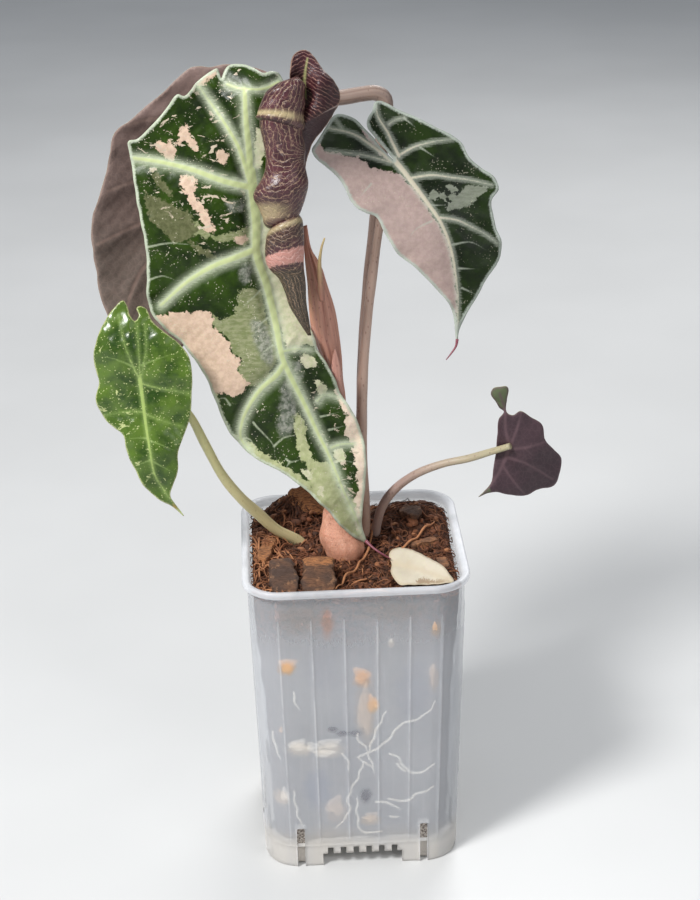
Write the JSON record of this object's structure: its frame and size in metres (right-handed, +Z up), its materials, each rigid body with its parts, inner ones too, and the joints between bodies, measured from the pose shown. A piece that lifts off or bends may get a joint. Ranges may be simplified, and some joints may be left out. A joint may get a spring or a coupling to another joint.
{
  "type": "potted alocasia plant",
  "caption": "Young variegated Alocasia with arrow-shaped veined leaves on thin stalks, growing in bark and coir in a tall milky square nursery pot.",
  "frame": {"origin": "middle of the whole plant's footprint on the surface that the pot stands on", "axes": "+Z up, +X to the plant's right as seen from the front, -Y towards the front of the pot"},
  "size_m": [0.1718, 0.085, 0.3152],
  "materials": {
    "pot_plastic": "milky translucent, satin",
    "potting_mix": "rough, loose",
    "bark": "rough",
    "coir_fibre": "matte",
    "root": "matte",
    "leaf_variegated": "satin, pale veins, pink and grey-green patches",
    "leaf_fresh": "glossy, pale flecks",
    "leaf_purple_under": "matte",
    "new_leaf": "satin, thin pale lines",
    "leaf_cream": "matte",
    "stem": "satin",
    "stalk_pink": "satin",
    "stalk_pale": "satin"
  },
  "bodies": {
    "root": {"bark_chip_1": "bark", "bark_chip_2": "bark", "bark_chip_3": "bark", "bark_chip_4": "bark", "bark_chip_5": "bark", "bark_chip_6": "bark", "bark_chip_7": "bark", "bark_chip_8": "bark", "drip_tip_front": "new_leaf", "fibre_1": "coir_fibre", "fibre_2": "coir_fibre", "fibre_3": "coir_fibre", "fibre_4": "coir_fibre", "fibre_5": "coir_fibre", "leaf_back": "leaf_purple_under", "leaf_front": "leaf_variegated", "leaf_lower_left": "leaf_fresh", "leaf_lower_right": "leaf_purple_under", "leaf_new_hood": "new_leaf", "leaf_new_rolled": "new_leaf", "leaf_right": "leaf_variegated", "leaf_small_cream": "leaf_cream", "petiole_back": "stalk_pink", "petiole_front": "stalk_pink", "petiole_lower_left": "stalk_pale", "petiole_lower_right": "stalk_pale", "petiole_new_leaf": "stalk_pink", "petiole_right": "stalk_pink", "pot": "pot_plastic", "potting_mix": "potting_mix", "root_1": "root", "root_2": "root", "root_3": "root", "root_4": "root", "root_5": "root", "root_6": "root", "root_7": "root", "root_8": "root", "sheath_second": "stalk_pink", "sheath_spike": "stalk_pink", "stem_base": "stem"}
  },
  "joints": []
}
